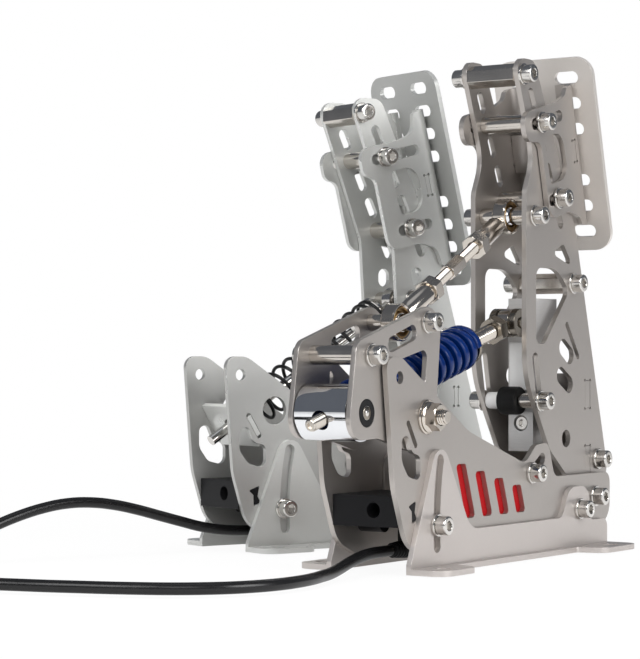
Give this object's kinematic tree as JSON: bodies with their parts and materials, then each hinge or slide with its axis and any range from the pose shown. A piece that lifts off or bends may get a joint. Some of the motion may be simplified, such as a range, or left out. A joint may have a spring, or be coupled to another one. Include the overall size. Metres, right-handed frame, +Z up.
{
  "type": "sim racing pedal set",
  "caption": "Sim racing pedal set of cut steel plate: a load cell brake pedal with rocker, link and die spring beside a spring return throttle pedal, each on bolt-down feet.",
  "frame": {"origin": "on the floor, in the middle of the brake unit's four floor bolt holes", "axes": "+X to the driver's right, +Y the way the pedals are pressed, +Z up"},
  "size_m": [0.3466, 0.5708, 0.2833],
  "materials": {
    "warm_steel": "satin blasted stainless plate, slightly warm",
    "grey_steel": "satin blasted stainless plate, neutral grey",
    "bright_steel": "bright plated or polished steel",
    "dark_steel": "dark oiled steel",
    "alloy": "milled aluminium",
    "black_plastic": "matt moulded plastic",
    "white_plastic": "smooth white plastic",
    "black_rubber": "matt rubber",
    "red_panel": "red sheet",
    "circuit_board": "green lacquer",
    "blue_spring_paint": "gloss blue enamel",
    "black_spring_paint": "black oxide",
    "cable_jacket": "smooth black jacket",
    "plug_shell": "clear grey modular plug"
  },
  "bodies": {
    "frame": {"brake_left_foot": "warm_steel", "brake_right_foot": "warm_steel", "brake_left_base_plate": "warm_steel", "brake_right_base_plate": "warm_steel", "throttle_left_foot": "grey_steel", "throttle_right_foot": "grey_steel", "throttle_left_base_plate": "grey_steel", "throttle_right_base_plate": "grey_steel", "brake_sensor_housing": "black_plastic", "throttle_sensor_housing": "black_plastic", "sensor_boards": "circuit_board", "base_spacers": "bright_steel", "base_screws": "bright_steel", "arm_pivot_shafts": "bright_steel", "rocker_pivot_bolts": "bright_steel", "brake_red_panels": "red_panel", "throttle_spring_plate": "grey_steel", "cable_glands": "black_plastic", "brake_cable": "cable_jacket", "brake_cable_coil": "cable_jacket", "brake_cable_plug": "plug_shell", "throttle_cable": "cable_jacket", "throttle_cable_coil": "cable_jacket", "throttle_cable_plug": "plug_shell", "cable_ties": "black_plastic"},
    "brake_arm": {"brake_left_arm_plate": "warm_steel", "brake_right_arm_plate": "warm_steel", "brake_arm_cross_plate": "warm_steel", "brake_arm_spacers": "bright_steel", "brake_arm_screws": "bright_steel", "brake_load_cell": "alloy", "brake_load_cell_potting": "white_plastic", "brake_rod_clevis": "dark_steel", "brake_bumper": "black_rubber", "brake_bumper_spacer": "white_plastic"},
    "brake_face": {"brake_face_plate": "warm_steel", "brake_face_brackets": "warm_steel", "brake_face_cross_plate": "warm_steel"},
    "brake_link": {"link_rod_ends": "bright_steel", "link_turnbuckle": "bright_steel", "link_lock_nuts": "bright_steel"},
    "brake_rocker": {"rocker_left_plate": "warm_steel", "rocker_right_plate": "warm_steel", "rocker_spacers": "bright_steel", "rocker_screws": "bright_steel", "rocker_bushes": "black_plastic"},
    "rocker_barrel": {"brake_barrel": "bright_steel"},
    "brake_rod": {"brake_spring_rod": "bright_steel", "brake_rod_nuts": "bright_steel", "brake_spring": "blue_spring_paint"},
    "throttle_arm": {"throttle_left_arm_plate": "grey_steel", "throttle_right_arm_plate": "grey_steel", "throttle_arm_cross_plate": "grey_steel", "throttle_arm_spacers": "bright_steel", "throttle_arm_screws": "bright_steel"},
    "throttle_face": {"throttle_face_plate": "grey_steel", "throttle_face_brackets": "grey_steel", "throttle_face_cross_plate": "grey_steel"},
    "throttle_rod": {"throttle_spring_rod": "bright_steel", "throttle_spring": "black_spring_paint"}
  },
  "joints": [
    {"name": "brake_pedal", "type": "hinge", "parent": "frame", "child": "brake_arm", "pos_m": [0, -0.099, 0.03], "axis": [-1, 0, 0], "range_deg": [0, 6], "stiffness_Nm_per_rad": 60, "springref_deg": -3.44, "deforming": ["brake_spring"]},
    {"name": "brake_rocker", "type": "hinge", "parent": "frame", "child": "brake_rocker", "pos_m": [0, 0.085, 0.08], "axis": [-1, 0, 0], "range_deg": [0, 23.2]},
    {"name": "brake_link", "type": "hinge", "parent": "brake_arm", "child": "brake_link", "pos_m": [0, -0.037, 0.19], "axis": [-1, 0, 0], "range_deg": [-9.2, 0]},
    {"name": "brake_rod", "type": "hinge", "parent": "brake_arm", "child": "brake_rod", "pos_m": [0, -0.039, 0.13], "axis": [-1, 0, 0], "range_deg": [-0.8, 0]},
    {"name": "rocker_barrel", "type": "hinge", "parent": "brake_rocker", "child": "rocker_barrel", "pos_m": [0, 0.135, 0.083], "axis": [-1, 0, 0], "range_deg": [-18, 0]},
    {"name": "brake_face_reach", "type": "slide", "parent": "brake_arm", "child": "brake_face", "axis": [0, 0.9703, -0.2419], "range_m": [-0.002, 0.005]},
    {"name": "throttle_pedal", "type": "hinge", "parent": "frame", "child": "throttle_arm", "pos_m": [0.07733, -0.16073, 0.03], "axis": [-0.9367, 0.3502, 0], "range_deg": [0, 13], "stiffness_Nm_per_rad": 12, "springref_deg": -6.88, "deforming": ["throttle_spring"]},
    {"name": "throttle_rod", "type": "hinge", "parent": "throttle_arm", "child": "throttle_rod", "pos_m": [0.10548, -0.08545, 0.14516], "axis": [-0.9367, 0.3502, 0], "range_deg": [-15.5, 0]},
    {"name": "throttle_face_reach", "type": "slide", "parent": "throttle_arm", "child": "throttle_face", "axis": [0.3398, 0.9088, -0.2419], "range_m": [-0.0065, 0.002]}
  ],
  "couplings": [
    {"joint": "brake_rocker", "follows": "brake_pedal", "ratio": 3.84},
    {"joint": "brake_link", "follows": "brake_pedal", "ratio": -1.512},
    {"joint": "brake_rod", "follows": "brake_pedal", "ratio": -0.129},
    {"joint": "rocker_barrel", "follows": "brake_pedal", "ratio": -2.969},
    {"joint": "throttle_rod", "follows": "throttle_pedal", "ratio": -1.18}
  ]
}
